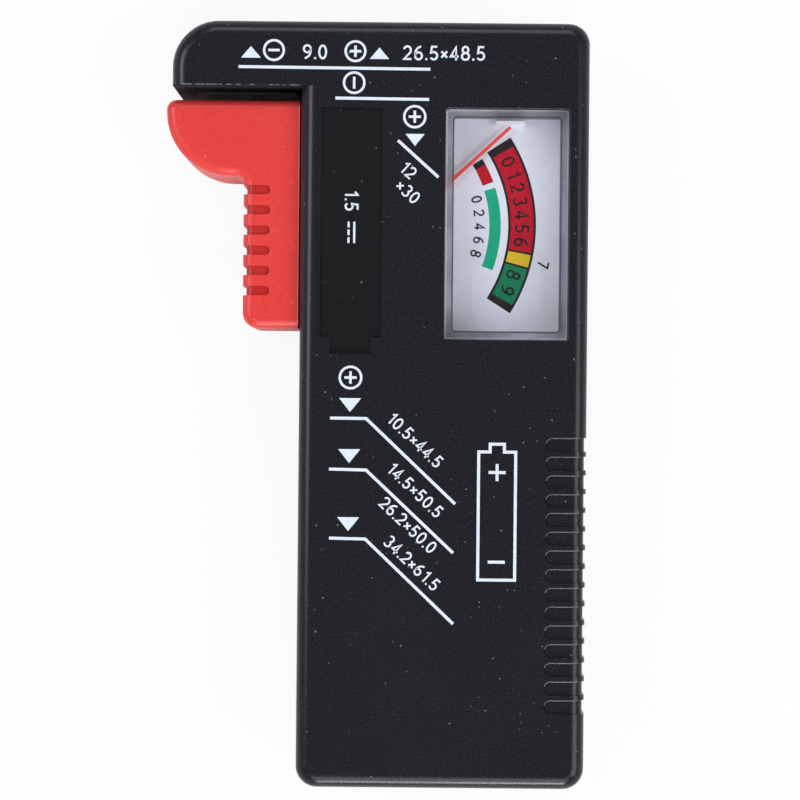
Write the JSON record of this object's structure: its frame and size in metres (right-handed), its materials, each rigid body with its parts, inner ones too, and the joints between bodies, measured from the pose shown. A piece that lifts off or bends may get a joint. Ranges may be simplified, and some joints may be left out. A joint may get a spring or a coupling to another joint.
{
  "type": "battery tester",
  "caption": "Hand-held analogue battery tester: dark case with a side head, red sprung sliding jaw that clamps a cell against it, and a moving-coil meter behind a clear window.",
  "frame": {"origin": "centre of the object's box, on the surface that its back lies on", "axes": "+Z out of the front face, +Y towards the head, +X to the right of a user who reads the dial"},
  "size_m": [0.0598, 0.1082, 0.025],
  "materials": {
    "case_plastic": "fine matt moulding, near black",
    "slider_plastic": "red satin moulding",
    "clear_plastic": "clear polished moulding",
    "dial_paint": "pale satin paint with printed bands",
    "needle_paint": "red paint on thin sheet",
    "screw_steel": "zinc plated",
    "contact_strip": "nickel plated strip",
    "spring_steel": "drawn wire",
    "tray_plastic": "dark moulding",
    "soft_iron": "turned soft iron",
    "magnet": "cast magnet alloy",
    "brass": "turned brass",
    "copper_wire": "enamelled copper winding",
    "bronze_strip": "rolled bronze strip",
    "board_laminate": "brown paper laminate",
    "resistor_coat": "baked coating",
    "lead_red": "soft insulation",
    "lead_black": "soft insulation",
    "lead_yellow": "soft insulation",
    "lead_blue": "soft insulation",
    "lead_white": "soft insulation"
  },
  "bodies": {
    "case": {"front_cover": "case_plastic", "rear_cover": "case_plastic", "case_screws": "screw_steel", "meter_cover": "clear_plastic", "dial_plate": "dial_paint", "meter_base": "tray_plastic", "yoke_ring": "soft_iron", "core_magnet": "magnet", "core_spacers": "brass", "jewel_bridge": "brass", "jewel_screws": "brass", "hairsprings": "bronze_strip", "meter_terminals": "brass", "head_contact": "contact_strip", "nine_volt_positive_contact": "contact_strip", "nine_volt_negative_contact": "contact_strip", "spring_anchor": "contact_strip", "slider_spring": "spring_steel", "resistor_board": "board_laminate", "load_resistor": "resistor_coat", "nine_volt_resistor": "resistor_coat", "meter_resistor": "resistor_coat", "board_screws": "screw_steel", "slider_lead": "lead_yellow", "negative_lead": "lead_black", "nine_volt_lead": "lead_red", "meter_positive_lead": "lead_white", "meter_negative_lead": "lead_blue"},
    "jaw": {"slider": "slider_plastic", "slider_contact": "contact_strip"},
    "needle": {"pointer": "needle_paint", "moving_coil": "copper_wire", "coil_pivots": "screw_steel"}
  },
  "joints": [
    {"name": "jaw_slide", "type": "slide", "parent": "case", "child": "jaw", "axis": [0, -1, 0], "range_m": [0, 0.0625], "stiffness_N_per_m": 45, "springref_m": -0.03, "deforming": ["slider_spring"]},
    {"name": "needle_swing", "type": "hinge", "parent": "case", "child": "needle", "pos_m": [0.0018, 0.02379, 0.019], "axis": [0, 0, -1], "range_deg": [0, 77], "stiffness_Nm_per_rad": 0.00002, "springref_deg": -8.59, "deforming": ["hairsprings"]}
  ]
}
